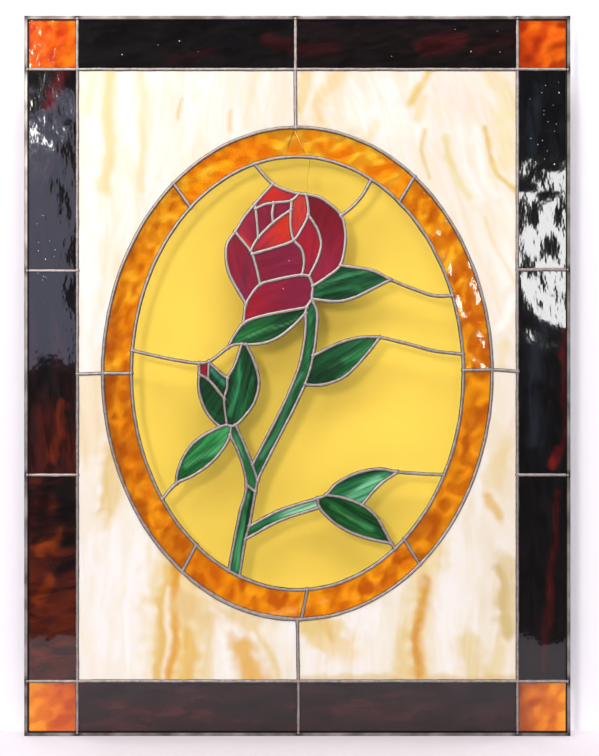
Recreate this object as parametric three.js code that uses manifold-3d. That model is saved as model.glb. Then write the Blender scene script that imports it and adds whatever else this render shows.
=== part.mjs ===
// Stained glass window: a long-stemmed rose in an oval, held by soldered copper foil in a U-came.
// Millimetres. The panel stands in the XZ plane and faces -Y, and its origin is the middle of the sill edge.
import * as THREE from 'three';
import { mergeVertices } from 'three/addons/utils/BufferGeometryUtils.js';
import Module from 'manifold-3d';

// Driving dimensions
const panelWidth = 559;
const panelHeight = 737;
const glassThickness = 3;
const fitGap = 0.25;
const foilThickness = 1;
const beadWidth = 3.2;
const beadCrownWidth = 1.8;
const beadHeight = 1;
const cameFace = 4.8;
const cameDepth = 6;
const cameHeart = 1.2;
const cameRound = 0.6;
const borderWidth = 54.3;
const sillBorderHeight = 56;
const headBorderHeight = 55;
const lowerBarHeight = 267;
const upperBarHeight = { left: 476, right: 477 };
const fieldBarHeight = { left: 370, right: 373 };
const seamShift = { sill: 1, head: -2 };
const innerOval = { middle: 371, across: 170, up: 221.7 };
const outerOval = { middle: 371, across: 199.2, up: 251.6 };
const chordSlack = 0.77;
const flatSlack = 0.35;
const curveSteps = 10;
const parallelTurn = 0.02;
const shortestEdge = 0.05;

// Sizes that follow from them
const slotHalf = glassThickness / 2 + fitGap;
const beadHalf = slotHalf + beadHeight;
const glazingSide = panelWidth / 2 - cameHeart + foilThickness / 2;
const glazingSill = cameHeart - foilThickness / 2;
const glazingHead = panelHeight - glazingSill;
const borderSide = panelWidth / 2 - borderWidth;
const borderSill = sillBorderHeight;
const borderHead = panelHeight - headBorderHeight;

// Where seams land on the two ovals, as angles in degrees from the right-hand end
const innerStops = {
  innerEast: 0.8,
  lineMiddleLeaf: 5,
  lineUpperLeaf: 21,
  innerNorthEast: 52.2,
  lineBrow: 63.5,
  lineCrown: 105,
  innerNorthWest: 130,
  lineBud: 174,
  innerWest: 180,
  lineLowLeaf: 215.5,
  innerSouthWest: 232.5,
  stemFootLeft: 245.6,
  stemFootRight: 249.5,
  innerSouth: 273.4,
  lineLastLeaf: 306,
  innerSouthEast: 310,
  lineTwigLeaf: 332,
};
const outerStops = {
  outerEast: 0.8,
  outerNorthEast: 53,
  outerNorth: 90.5,
  outerNorthWest: 129.5,
  outerWest: 180,
  outerSouthWest: 233.7,
  fieldSouth: 270,
  outerSouth: 271.2,
  outerSouthEast: 309,
};

// Every joint where seams meet, as [x, z]
const joints = {
  // border
  sillLeft: [-borderSide, borderSill],
  sillRight: [borderSide, borderSill],
  headLeft: [-borderSide, borderHead],
  headRight: [borderSide, borderHead],
  sillMiddle: [seamShift.sill, borderSill],
  headMiddle: [seamShift.head, borderHead],
  leftLower: [-borderSide, lowerBarHeight],
  leftField: [-borderSide, fieldBarHeight.left],
  leftUpper: [-borderSide, upperBarHeight.left],
  rightLower: [borderSide, lowerBarHeight],
  rightField: [borderSide, fieldBarHeight.right],
  rightUpper: [borderSide, upperBarHeight.right],
  // rose outline, clockwise from its top
  roseTip: [-25, 564.8],
  crownEnd: [1.5, 554.6],
  browStart: [8.6, 553.8],
  roseEast: [44.8, 532.5],
  leafNotch: [43.8, 481.6],
  petalFoot: [15.6, 460.2],
  neckRight: [15, 447],
  neckLeft: [9.4, 438.6],
  neckFoot: [8.3, 432.6],
  roseWest: [-55, 422.2],
  cheek: [-52.6, 441.6],
  shoulder: [-63.7, 515.6],
  heartLeft: [-43.6, 544],
  // rose heart
  heartFork: [-42.8, 539.4],
  heartCrest: [-24.3, 545.4],
  heartBend: [-6, 548],
  heartBar: [-6.6, 538.2],
  heartKnee: [-24.8, 525],
  heartElbow: [-40, 509.6],
  heartHeel: [-48, 496.4],
  heartFloor: [-3.8, 507.2],
  heartEast: [10.9, 532.8],
  centreLeft: [-46.2, 493.2],
  centreRight: [4.8, 471.8],
  centreFoot: [-37.9, 462],
  baseFork: [12, 470.6],
  // right-hand leaves
  upperLeafTip: [95.5, 466.8],
  middleLeafTop: [16.2, 389],
  middleLeafFoot: [7.8, 359.8],
  middleLeafTip: [84.2, 407.6],
  // bud and its leaves
  roseLeafTip: [-70.6, 397.6],
  budCrownLeft: [-56.8, 401],
  budCrownRight: [-52.6, 400.4],
  budTipLeft: [-100.4, 381.3],
  budTipRight: [-90.6, 382.8],
  tipFootLeft: [-100.3, 370],
  tipFootRight: [-91.4, 364.8],
  sepalNotch: [-71.4, 366],
  sepalFork: [-74.8, 345],
  budBaseLeft: [-79.2, 316],
  budBaseMiddle: [-72.3, 318.2],
  branchTop: [-67.8, 316.8],
  budBaseRight: [-63, 318.2],
  branchFork: [-68.9, 307.8],
  lowLeafTip: [-123.8, 258.2],
  // stems and the twig
  forkTop: [-46, 277.4],
  forkFoot: [-40.6, 261.2],
  graftLeft: [-52, 256.8],
  graftRight: [-43, 249.8],
  twigTop: [-49.6, 214.4],
  twigFoot: [-53, 201.4],
  twigEndTop: [20.8, 243.2],
  twigEndFoot: [22.4, 234],
  twigLeafFork: [29.6, 246.6],
  twigLeafTip: [102.5, 270],
  twigLeafMeet: [66, 236.4],
  lastLeafTip: [96.2, 197],
  // perimeter
  cornerSillLeft: [-glazingSide, glazingSill],
  cornerSillRight: [glazingSide, glazingSill],
  cornerHeadRight: [glazingSide, glazingHead],
  cornerHeadLeft: [-glazingSide, glazingHead],
  edgeSillLeft: [-borderSide, glazingSill],
  edgeSillMiddle: [seamShift.sill, glazingSill],
  edgeSillRight: [borderSide, glazingSill],
  edgeHeadLeft: [-borderSide, glazingHead],
  edgeHeadMiddle: [seamShift.head, glazingHead],
  edgeHeadRight: [borderSide, glazingHead],
  edgeLeftSill: [-glazingSide, borderSill],
  edgeLeftLower: [-glazingSide, lowerBarHeight],
  edgeLeftUpper: [-glazingSide, upperBarHeight.left],
  edgeLeftHead: [-glazingSide, borderHead],
  edgeRightSill: [glazingSide, borderSill],
  edgeRightLower: [glazingSide, lowerBarHeight],
  edgeRightUpper: [glazingSide, upperBarHeight.right],
  edgeRightHead: [glazingSide, borderHead],
};

// Straight seams, from joint to joint
const straightSeams = [
  ['cornerSillLeft', 'edgeSillLeft', 'edgeSillMiddle', 'edgeSillRight', 'cornerSillRight'],
  ['cornerSillRight', 'edgeRightSill', 'edgeRightLower', 'edgeRightUpper', 'edgeRightHead'],
  ['edgeRightHead', 'cornerHeadRight'],
  ['cornerHeadRight', 'edgeHeadRight', 'edgeHeadMiddle', 'edgeHeadLeft', 'cornerHeadLeft'],
  ['cornerHeadLeft', 'edgeLeftHead', 'edgeLeftUpper', 'edgeLeftLower', 'edgeLeftSill', 'cornerSillLeft'],
  ['edgeLeftSill', 'sillLeft', 'sillMiddle', 'sillRight', 'edgeRightSill'],
  ['edgeLeftHead', 'headLeft', 'headMiddle', 'headRight', 'edgeRightHead'],
  ['edgeSillLeft', 'sillLeft', 'leftLower', 'leftField', 'leftUpper', 'headLeft', 'edgeHeadLeft'],
  ['edgeSillRight', 'sillRight', 'rightLower', 'rightField', 'rightUpper', 'headRight', 'edgeHeadRight'],
  ['edgeSillMiddle', 'sillMiddle', 'fieldSouth'],
  ['edgeHeadMiddle', 'headMiddle', 'outerNorth'],
  ['edgeLeftLower', 'leftLower'],
  ['edgeLeftUpper', 'leftUpper'],
  ['edgeRightLower', 'rightLower'],
  ['edgeRightUpper', 'rightUpper'],
  ['leftField', 'outerWest', 'innerWest'],
  ['rightField', 'outerEast', 'innerEast'],
  ['outerNorthEast', 'innerNorthEast'],
  ['outerNorthWest', 'innerNorthWest'],
  ['outerSouthWest', 'innerSouthWest'],
  ['outerSouth', 'innerSouth'],
  ['outerSouthEast', 'innerSouthEast'],
  ['lineCrown', 'roseTip'],
  ['lineLastLeaf', 'lastLeafTip'],
  ['budTipLeft', 'tipFootLeft', 'tipFootRight', 'budTipRight', 'budTipLeft'],
  ['heartLeft', 'heartFork', 'heartElbow', 'heartHeel'],
  ['shoulder', 'heartHeel'],
  ['centreRight', 'baseFork'],
  ['budBaseLeft', 'budBaseMiddle', 'branchTop', 'budBaseRight'],
  ['branchTop', 'branchFork'],
  ['twigEndTop', 'twigEndFoot'],
];

// Curved seams, through joints and the [x, z] bends between them
const curvedSeams = [
  // lines that carry the rose in its oval
  ['roseEast', [58, 543.2], [67, 554], 'lineBrow'],
  ['upperLeafTip', [119, 457.3], [140, 450.4], 'lineUpperLeaf'],
  ['middleLeafTip', [109.6, 402], [140, 394], 'lineMiddleLeaf'],
  ['twigLeafTip', [128, 268.4], 'lineTwigLeaf'],
  ['lowLeafTip', [-131, 250], 'lineLowLeaf'],
  ['lineBud', [-136, 386.8], [-114, 382.8], 'budTipLeft'],
  // rose outline
  ['roseTip', [-10.3, 557.8], 'crownEnd', 'browStart', [21.6, 551.4], [34.6, 542.8], 'roseEast'],
  ['roseEast', [48.6, 519], [48.8, 503], 'leafNotch'],
  ['roseTip', [-37, 551.6], 'heartLeft', [-55, 530], 'shoulder'],
  ['shoulder', [-71.2, 504.6], [-73, 490], [-69, 471.5], 'cheek'],
  ['baseFork', 'petalFoot', 'neckRight', 'neckLeft', 'neckFoot'],
  ['cheek', [-54.6, 430.5], 'roseWest', [-63.7, 410], [-68.3, 404], 'roseLeafTip'],
  ['leafNotch', [31, 470.2], 'petalFoot'],
  // rose heart and petals
  ['heartFork', [-34, 543.7], 'heartCrest', 'heartBend', 'crownEnd'],
  ['heartBend', 'heartBar', [-6.8, 520], 'heartFloor'],
  ['heartElbow', 'heartKnee', [-15, 532.6], 'heartBar'],
  ['browStart', [10.8, 543], 'heartEast', [19, 521.5], [24.2, 503], [19.5, 485], 'baseFork'],
  ['heartEast', [4.2, 518.4], 'heartFloor'],
  ['heartFloor', [3.5, 499.2], [6.8, 486], 'centreRight'],
  ['centreRight', [-15.3, 467.9], [-28, 465.4], 'centreFoot', [-47.5, 451], 'cheek'],
  ['heartHeel', 'centreLeft', [-41.6, 476], 'centreFoot'],
  ['centreLeft', [-24, 499.6], 'heartFloor'],
  ['roseWest', [-42.3, 428], [-20.3, 432.8], 'neckLeft'],
  // leaves
  ['leafNotch', [60.7, 478.8], [78, 475.6], 'upperLeafTip'],
  ['upperLeafTip', [70, 454.6], [52, 446.4], [36, 444.8], 'neckRight'],
  ['middleLeafTop', [44, 402.4], [66, 407.8], 'middleLeafTip'],
  ['middleLeafTip', [66, 385], [47, 367], [24, 359], 'middleLeafFoot'],
  ['roseLeafTip', [-64, 400.4], 'budCrownLeft', 'budCrownRight', [-33, 402.4], [-13, 412], 'neckFoot'],
  ['twigEndTop', 'twigLeafFork', [41, 258.8], [62, 269], [82, 273], 'twigLeafTip'],
  ['twigLeafTip', [84, 256.8], 'twigLeafMeet'],
  ['twigLeafFork', [46, 243.8], 'twigLeafMeet', [80, 225], [89.5, 209.5], 'lastLeafTip'],
  ['twigEndFoot', [38, 218], [62, 205.2], 'lastLeafTip'],
  ['budBaseLeft', [-102, 303.4], [-116, 286.4], [-122.8, 268], 'lowLeafTip'],
  ['branchFork', [-76, 294], [-90, 278.2], [-108, 265.9], 'lowLeafTip'],
  // bud
  ['tipFootLeft', [-101, 356], [-93, 331], 'budBaseLeft'],
  ['sepalNotch', [-72, 356], 'sepalFork', [-74.2, 332], 'budBaseMiddle'],
  ['sepalNotch', [-64.5, 378], 'budCrownLeft'],
  ['budCrownRight', [-43.4, 380.4], [-39.4, 361], [-45.2, 339], 'budBaseRight'],
  ['budTipRight', [-79.4, 371.8], 'sepalNotch'],
  // stems and twig
  ['neckRight', [19.8, 434], [18.2, 412], 'middleLeafTop', 'middleLeafFoot'],
  ['middleLeafFoot', [-7, 329.5], 'forkFoot', 'graftRight'],
  ['graftRight', 'twigTop', 'twigFoot', 'stemFootRight'],
  ['neckFoot', [8.2, 414], [2.6, 380.6], [-13, 341.6], 'forkTop'],
  ['budBaseRight', [-53.8, 296.4], 'forkTop', 'forkFoot'],
  ['branchFork', [-61, 292], 'graftLeft'],
  ['graftLeft', [-59.4, 225.5], 'stemFootLeft'],
  ['graftLeft', 'graftRight'],
  ['twigTop', [-19, 230.2], 'twigEndTop'],
  ['twigFoot', [-20, 219.3], 'twigEndFoot'],
];

// Seams that lie on a pane only, on both of its faces
const overlaidSeams = [
  ['heartCrest', [-25.8, 534], 'heartKnee'],
  ['tipFootRight', 'sepalFork'],
  ['budTipRight', 'roseLeafTip'],
];

// Panes by kind of glass: name and a point inside
const panes = {
  amber: {
    corner_head_left: [-250, 710],
    corner_head_right: [250, 710],
    corner_sill_left: [-250, 28],
    corner_sill_right: [250, 28],
    ring_top: [0, 606],
    ring_upper_left: [-164, 480],
    ring_lower_left: [-164, 260],
    ring_bottom_left: [-60, 148],
    ring_bottom_right: [60, 148],
    ring_lower_right: [164, 260],
    ring_upper_right: [164, 480],
  },
  dark: {
    border_head_left: [-110, 710],
    border_head_right: [110, 710],
    border_sill_left: [-110, 28],
    border_sill_right: [110, 28],
    border_left_upper: [-250, 580],
    border_left_middle: [-250, 370],
    border_left_lower: [-250, 160],
    border_right_upper: [250, 580],
    border_right_middle: [250, 370],
    border_right_lower: [250, 160],
  },
  cream: {
    field_upper_left: [-200, 650],
    field_upper_right: [200, 650],
    field_lower_left: [-200, 90],
    field_lower_right: [200, 90],
  },
  yellow: {
    ground_top: [20, 580],
    ground_upper_left: [-110, 480],
    ground_lower_left: [-130, 330],
    ground_bottom_left: [-90, 230],
    ground_upper_right: [100, 510],
    ground_between_leaves: [120, 430],
    ground_right: [70, 320],
    ground_leaf_notch: [115, 235],
    ground_bottom: [20, 190],
    ground_centre: [-20, 370],
  },
  red: {
    petal_crown: [-22, 555],
    petal_left_inner: [-52, 520],
    petal_heart: [-33, 530],
    petal_fold: [-18, 515],
    petal_upper_right: [2, 530],
    petal_right_inner: [14, 500],
    petal_right_outer: [35, 515],
    petal_left_outer: [-60, 480],
    petal_centre: [-18, 485],
    petal_base: [-18, 450],
    bud_tip: [-95.5, 375],
  },
  green: {
    leaf_upper_right: [60, 465],
    leaf_under_rose: [-35, 415],
    leaf_middle_right: [50, 390],
    leaf_low_left: [-100, 285],
    leaf_twig_upper: [70, 258],
    leaf_twig_lower: [60, 222],
    bud_sepals: [-90, 345],
    bud_leaf: [-55, 360],
    stem_upper: [11.7, 400],
    stem_lower: [-55, 220],
    stem_branch: [-57, 290],
    stem_twig: [-15, 227],
  },
};

const glassColours = {
  amber: 0xe8820c,
  dark: 0x1c1418,
  cream: 0xf4ead6,
  yellow: 0xfbd34f,
  red: 0xa01e30,
  green: 0x1d6b35,
};

function glassMaterial(kind) {
  return new THREE.MeshStandardMaterial({ color: glassColours[kind], roughness: 0.12, metalness: 0 });
}

function solderMaterial() {
  return new THREE.MeshStandardMaterial({ color: 0x8f8680, roughness: 0.38, metalness: 1 });
}

function cameMaterial() {
  return new THREE.MeshStandardMaterial({ color: 0x8a8580, roughness: 0.45, metalness: 1 });
}

function onOval(oval, degrees) {
  const angle = THREE.MathUtils.degToRad(degrees);
  return [oval.across * Math.cos(angle), oval.middle + oval.up * Math.sin(angle)];
}

function offChord(points, from, to) {
  const chord = new THREE.Line3(new THREE.Vector3(...points[from], 0), new THREE.Vector3(...points[to], 0));
  const offsets = points.slice(from, to + 1).map((place) => {
    const point = new THREE.Vector3(...place, 0);
    return chord.closestPointToPoint(point, true, new THREE.Vector3()).distanceTo(point);
  });
  return Math.max(...offsets);
}

// The fewest equal chords that stay within the slack of the curve
function thin(points) {
  const last = points.length - 1;
  for (let chords = 1; chords < last; chords += 1) {
    const stops = Array.from({ length: chords + 1 }, (_, stop) => Math.round((stop * last) / chords));
    if (stops.slice(1).every((to, index) => offChord(points, stops[index], to) < chordSlack)) {
      return stops.map((stop) => points[stop]);
    }
  }
  return points;
}

function straightSpans(names) {
  return names.slice(1).map((name, index) => {
    const from = names[index];
    return { from, to: name, points: [joints[from], joints[name]] };
  });
}

function curvedSpans(stops) {
  const places = stops.map((stop) => (typeof stop === 'string' ? joints[stop] : stop));
  const knots = places.map(([x, z]) => new THREE.Vector3(x, z, 0));
  const curve = new THREE.CatmullRomCurve3(knots, false, 'centripetal');
  const line = curve.getPoints(curveSteps * (knots.length - 1)).map((point) => [point.x, point.y]);
  const spans = [];
  let start = 0;
  for (let index = 1; index < stops.length; index += 1) {
    if (typeof stops[index] === 'string') {
      const points = thin(line.slice(start * curveSteps, index * curveSteps + 1));
      points[0] = joints[stops[start]];
      points[points.length - 1] = joints[stops[index]];
      spans.push({ from: stops[start], to: stops[index], points });
      start = index;
    }
  }
  return spans;
}

function ovalSpans(oval, stops) {
  const names = Object.keys(stops);
  return names.map((name, index) => {
    const next = names[(index + 1) % names.length];
    const begin = stops[name];
    const sweep = (stops[next] - begin + 360) % 360;
    const steps = Math.max(2, Math.ceil(sweep));
    const arc = Array.from({ length: steps + 1 }, (_, step) => onOval(oval, begin + (sweep * step) / steps));
    arc[steps] = joints[next];
    return { from: name, to: next, points: thin(arc) };
  });
}

// The outline without the corners that hardly turn, such as where only the other side has a joint
function withoutFlatCorners(outline) {
  const corners = [...outline];
  const bulge = (index) => {
    const before = corners[(index + corners.length - 1) % corners.length];
    const along = corners[(index + 1) % corners.length].clone().sub(before).normalize();
    return Math.abs(corners[index].clone().sub(before).cross(along));
  };
  for (let index = corners.length - 1; index >= 0; index -= 1) {
    if (bulge(index) < flatSlack) {
      corners.splice(index, 1);
    }
  }
  return corners;
}

function heading(points) {
  return Math.atan2(points[1][1] - points[0][1], points[1][0] - points[0][0]);
}

// Walks round every opening of the seam network and keeps it on the left
function openingsOf(spans) {
  const halves = spans.flatMap(({ from, to, points }) => {
    const ahead = { from, to, points };
    const back = { from: to, to: from, points: [...points].reverse() };
    ahead.twin = back;
    back.twin = ahead;
    return [ahead, back];
  });
  const leaving = {};
  for (const half of halves) {
    half.heading = heading(half.points);
    (leaving[half.from] ??= []).push(half);
  }
  for (const group of Object.values(leaving)) {
    group.sort((one, other) => one.heading - other.heading);
  }
  const loops = [];
  for (const begin of halves) {
    const corners = [];
    let half = begin;
    while (!half.walked) {
      half.walked = true;
      corners.push(...half.points.slice(0, -1));
      const group = leaving[half.to];
      const turn = group.indexOf(half.twin);
      half = group[(turn + group.length - 1) % group.length];
    }
    const loop = corners.map(([x, z]) => new THREE.Vector2(x, z));
    if (loop.length > 2 && THREE.ShapeUtils.area(loop) > 0) {
      loops.push(withoutFlatCorners(loop));
    }
  }
  return loops;
}

function holds(loop, [x, z]) {
  let inside = false;
  loop.forEach((end, index) => {
    const start = loop[(index + loop.length - 1) % loop.length];
    const crosses = start.y > z !== end.y > z;
    if (crosses && x < ((end.x - start.x) * (z - start.y)) / (end.y - start.y) + start.x) {
      inside = !inside;
    }
  });
  return inside;
}

// Where two neighbouring edges meet once both have moved inwards
function insetCorner(before, after, distance) {
  const from = before.start.clone().addScaledVector(before.inward, distance);
  const to = after.start.clone().addScaledVector(after.inward, distance);
  const turn = before.along.cross(after.along);
  if (Math.abs(turn) < parallelTurn) {
    return to;
  }
  const reach = to.clone().sub(from).cross(after.along) / turn;
  return from.addScaledVector(before.along, reach);
}

// The outline moved inwards, without the edges that get lost on the way
function inset(loop, distance) {
  const edges = loop.map((start, index) => {
    const along = loop[(index + 1) % loop.length].clone().sub(start).normalize();
    return { start, along, inward: new THREE.Vector2(-along.y, along.x) };
  });
  for (;;) {
    const count = edges.length;
    const corners = edges.map((edge, index) => (
      insetCorner(edges[(index + count - 1) % count], edge, distance)
    ));
    const lengths = edges.map((edge, index) => (
      corners[(index + 1) % count].clone().sub(corners[index]).dot(edge.along)
    ));
    const shortest = lengths.indexOf(Math.min(...lengths));
    if (lengths[shortest] > shortestEdge) {
      return corners;
    }
    edges.splice(shortest, 1);
  }
}

// An outline in XZ made solid along Y, centred on the given depth
function plate(outline, options, middle) {
  const geometry = new THREE.ExtrudeGeometry(new THREE.Shape(outline), { bevelEnabled: false, ...options });
  geometry.translate(0, 0, -options.depth / 2);
  geometry.rotateX(Math.PI / 2);
  geometry.translate(0, middle, 0);
  return geometry;
}

function rectangle(side, sill, head) {
  return [[-side, sill], [side, sill], [side, head], [-side, head]].map(([x, z]) => new THREE.Vector2(x, z));
}

const wasm = await Module();
wasm.setup();

function solidOf(geometry) {
  const bare = geometry.clone();
  bare.deleteAttribute('normal');
  bare.deleteAttribute('uv');
  const merged = mergeVertices(bare);
  return new wasm.Manifold(new wasm.Mesh({
    numProp: 3,
    vertProperties: new Float32Array(merged.attributes.position.array),
    triVerts: new Uint32Array(merged.index.array),
  }));
}

function geometryOf(solid) {
  const mesh = solid.getMesh();
  const geometry = new THREE.BufferGeometry();
  geometry.setAttribute('position', new THREE.BufferAttribute(mesh.vertProperties, mesh.numProp));
  geometry.setIndex(new THREE.BufferAttribute(mesh.triVerts, 1));
  return geometry;
}

function glassPane(loop) {
  return plate(inset(loop, foilThickness / 2 + fitGap), { depth: glassThickness }, 0);
}

// The slot that holds a pane between the beads
function paneSlot(loop) {
  return plate(inset(loop, foilThickness / 2), { depth: slotHalf * 2 }, 0);
}

// The daylight opening on one face, which widens outwards past the sloped sides of the beads
function daylight(loop, side) {
  const slope = (beadWidth - beadCrownWidth) / 2;
  const outline = inset(loop, beadWidth / 2);
  const options = {
    depth: beadHeight,
    bevelEnabled: true,
    bevelThickness: beadHeight,
    bevelSize: slope,
    bevelSegments: 1,
  };
  return plate(outline, options, side * (beadHalf + beadHeight / 2));
}

function solderMatrix(slots, openings) {
  const clear = cameFace + fitGap;
  const sheet = rectangle(panelWidth / 2 - clear, clear, panelHeight - clear);
  let solid = solidOf(plate(sheet, { depth: beadHalf * 2 }, 0));
  for (const loop of slots) {
    solid = solid.subtract(solidOf(paneSlot(loop)));
  }
  for (const loop of openings) {
    for (const side of [-1, 1]) {
      solid = solid.subtract(solidOf(daylight(loop, side)));
    }
  }
  return geometryOf(solid);
}

function perimeterCame() {
  const flatSide = panelWidth / 2 - cameRound;
  const body = plate(rectangle(flatSide, cameRound, panelHeight - cameRound), {
    depth: cameDepth - cameRound * 2,
    bevelEnabled: true,
    bevelThickness: cameRound,
    bevelSize: cameRound,
    bevelSegments: 2,
  }, 0);
  const slot = rectangle(panelWidth / 2 - cameHeart, cameHeart, panelHeight - cameHeart);
  const opening = rectangle(panelWidth / 2 - cameFace, cameFace, panelHeight - cameFace);
  return geometryOf(
    solidOf(body)
      .subtract(solidOf(plate(slot, { depth: slotHalf * 2 }, 0)))
      .subtract(solidOf(plate(opening, { depth: cameDepth * 2 }, 0))),
  );
}

function namedMesh(name, geometry, material) {
  const mesh = new THREE.Mesh(geometry, material);
  mesh.name = name;
  return mesh;
}

for (const [oval, stops] of [[innerOval, innerStops], [outerOval, outerStops]]) {
  for (const [name, degrees] of Object.entries(stops)) {
    joints[name] = onOval(oval, degrees);
  }
}
const paneSpans = [
  ...straightSeams.flatMap(straightSpans),
  ...curvedSeams.flatMap(curvedSpans),
  ...ovalSpans(innerOval, innerStops),
  ...ovalSpans(outerOval, outerStops),
];
const paneLoops = openingsOf(paneSpans);
const daylightLoops = openingsOf([...paneSpans, ...overlaidSeams.flatMap(curvedSpans)]);

const panel = new THREE.Group();
panel.name = 'stained_glass_window';
for (const [kind, places] of Object.entries(panes)) {
  for (const [name, place] of Object.entries(places)) {
    const loop = paneLoops.find((candidate) => holds(candidate, place));
    panel.add(namedMesh(name, glassPane(loop), glassMaterial(kind)));
  }
}
panel.add(namedMesh('solder_matrix', solderMatrix(paneLoops, daylightLoops), solderMaterial()));
panel.add(namedMesh('perimeter_came', perimeterCame(), cameMaterial()));

export default panel;
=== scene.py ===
import math
import random
import time

import bmesh
import bpy
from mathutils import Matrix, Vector, geometry, noise


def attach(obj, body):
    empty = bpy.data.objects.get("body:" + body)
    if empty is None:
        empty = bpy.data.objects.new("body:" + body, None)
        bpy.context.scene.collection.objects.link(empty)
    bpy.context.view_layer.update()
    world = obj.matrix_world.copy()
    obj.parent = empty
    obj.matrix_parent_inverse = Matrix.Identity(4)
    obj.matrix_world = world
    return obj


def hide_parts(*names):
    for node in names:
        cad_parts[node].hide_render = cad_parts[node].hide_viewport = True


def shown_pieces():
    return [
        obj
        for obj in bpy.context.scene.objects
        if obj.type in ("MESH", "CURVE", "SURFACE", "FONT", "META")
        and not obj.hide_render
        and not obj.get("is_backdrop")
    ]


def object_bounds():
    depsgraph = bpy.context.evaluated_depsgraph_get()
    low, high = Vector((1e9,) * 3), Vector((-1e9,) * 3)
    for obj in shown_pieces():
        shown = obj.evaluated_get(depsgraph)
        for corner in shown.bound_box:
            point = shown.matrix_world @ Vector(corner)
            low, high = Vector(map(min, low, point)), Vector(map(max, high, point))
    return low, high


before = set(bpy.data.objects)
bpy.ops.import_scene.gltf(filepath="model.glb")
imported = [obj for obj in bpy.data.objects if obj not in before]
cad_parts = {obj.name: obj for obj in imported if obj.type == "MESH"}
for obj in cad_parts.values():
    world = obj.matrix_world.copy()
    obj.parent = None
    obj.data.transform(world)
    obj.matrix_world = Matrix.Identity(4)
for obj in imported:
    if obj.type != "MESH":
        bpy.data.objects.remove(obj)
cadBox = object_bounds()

# Stained glass window: a long-stemmed rose in an oval. The panel stands in the XZ plane and faces -Y.

mm = 0.001
sameVertex = 0.01 * mm            # corners closer than this are merged
onPlane = Vector((1, 0, 1))       # times this, a point drops onto the middle of the panel
glassIor = 1.52
startTime = time.time()
scene = bpy.context.scene
noise.seed_set(7)                 # noise vectors differ from run to run without this


def report(stage):
    print(f"{stage} ({time.time() - startTime:.1f} s)")


def linear(hexColour):
    # sRGB hex to the linear colour that shaders want
    parts = [int(hexColour[i:i + 2], 16) / 255 for i in (1, 3, 5)]
    return tuple(c / 12.92 if c <= 0.04045 else ((c + 0.055) / 1.055) ** 2.4 for c in parts) + (1.0,)


def mix(a, b, t):
    return tuple(p + (q - p) * t for p, q in zip(a, b))


def clamp(value, low=0.0, high=1.0):
    return max(low, min(high, value))


def pointAt(x, z):
    # a point on the middle of the panel, from millimetres
    return Vector((x, 0, z)) * mm


def addNode(tree, kind, values=None, links=None, **settings):
    # values go on the sockets, links join them to other nodes, settings go on the node itself
    node = tree.nodes.new(kind)
    for name, value in settings.items():
        setattr(node, name, value)
    for socket, value in (values or {}).items():
        node.inputs[socket].default_value = value
    for socket, source in (links or {}).items():
        tree.links.new(source, node.inputs[socket])
    return node


def newMaterial(name, values):
    # values are the same all over, so they go on the shader's own sockets
    material = bpy.data.materials.new(name)
    material.use_nodes = True
    tree = material.node_tree
    shader = tree.nodes["Principled BSDF"]
    for socket, value in values.items():
        shader.inputs[socket].default_value = value
    return material, tree, shader


def cutAcross(bm, axis, at, nearby):
    # one straight cut through the whole mesh, across x (0) or z (2)
    spot, facing = Vector(), Vector()
    spot[axis], facing[axis] = at, 1
    bmesh.ops.bisect_plane(bm, geom=bm.verts[:] + bm.edges[:] + bm.faces[:], dist=nearby, plane_co=spot,
                           plane_no=facing)


def shadeSmooth(bm):
    for face in bm.faces:
        face.smooth = True


def newObject(name, bm, material):
    mesh = bpy.data.meshes.new(name)
    bm.to_mesh(mesh)
    bm.free()
    mesh.materials.append(material)
    thing = bpy.data.objects.new(name, mesh)
    scene.collection.objects.link(thing)
    return thing


def newPiece(name, bm, material, slotName, *nodes):
    # a finished piece sits at the origin with its place in its mesh
    piece = newObject(name, bm, material)
    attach(piece, "root")
    if nodes:
        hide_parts(*nodes)
    return piece


# the seams, read from the outlines of the CAD panes

seams = {
    "halfGap": 0.75 * mm,         # from a CAD pane's edge to the middle of its seam
    "front": -0.9,                # a pane's front face points further forward than this
    "sameSpot": 1.2 * mm,
    "onEdge": 0.5 * mm,
    "onRim": 0.1 * mm,
    "step": 2.0 * mm,             # length of one piece of a smooth seam
    "smoothTurn": math.radians(40),
    "smoothBend": math.radians(60),
    "wander": 0.25 * mm,          # hand-cut glass never runs quite true
    "wanderScale": 1 / (16 * mm),
    "calmRim": 20 * mm,           # it runs truer within this of the rim
}

# seams that part two panes of one CAD node, from joint to joint in millimetres
dividers = {
    "petal_heart": [(-24.3, 545.4), (-25.8, 534.0), (-24.8, 525.0)],
    "bud_sepals": [(-91.4, 364.8), (-74.8, 345.0)],
    "ground_upper_left": [(-90.6, 382.8), (-70.6, 397.6)],
}


def paneOutline(node):
    # corners of a pane's front face, set out to the middle of the seams round it
    bm = bmesh.new()
    bm.from_mesh(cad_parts[node].data)
    bmesh.ops.remove_doubles(bm, verts=bm.verts, dist=sameVertex)
    bm.normal_update()
    bmesh.ops.delete(bm, geom=[f for f in bm.faces if f.normal.y > seams["front"]], context="FACES")
    start = next(e for e in bm.edges if e.is_boundary).link_loops[0]
    corners, loop = [], start
    while True:
        corners.append(loop.vert.co * onPlane)
        following = loop.link_loop_next
        while not following.edge.is_boundary:
            following = following.link_loop_radial_next.link_loop_next
        loop = following
        if loop == start:
            break
    bm.free()
    outline = []
    for i, corner in enumerate(corners):
        into = (corner - corners[i - 1]).normalized()
        away = (corners[(i + 1) % len(corners)] - corner).normalized()
        outInto, outAway = Vector((into.z, 0, -into.x)), Vector((away.z, 0, -away.x))
        outline.append(corner + (outInto + outAway) * seams["halfGap"] / (1 + outInto.dot(outAway)))
    return outline


spots = []                        # every joint and bend of the seams


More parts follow.
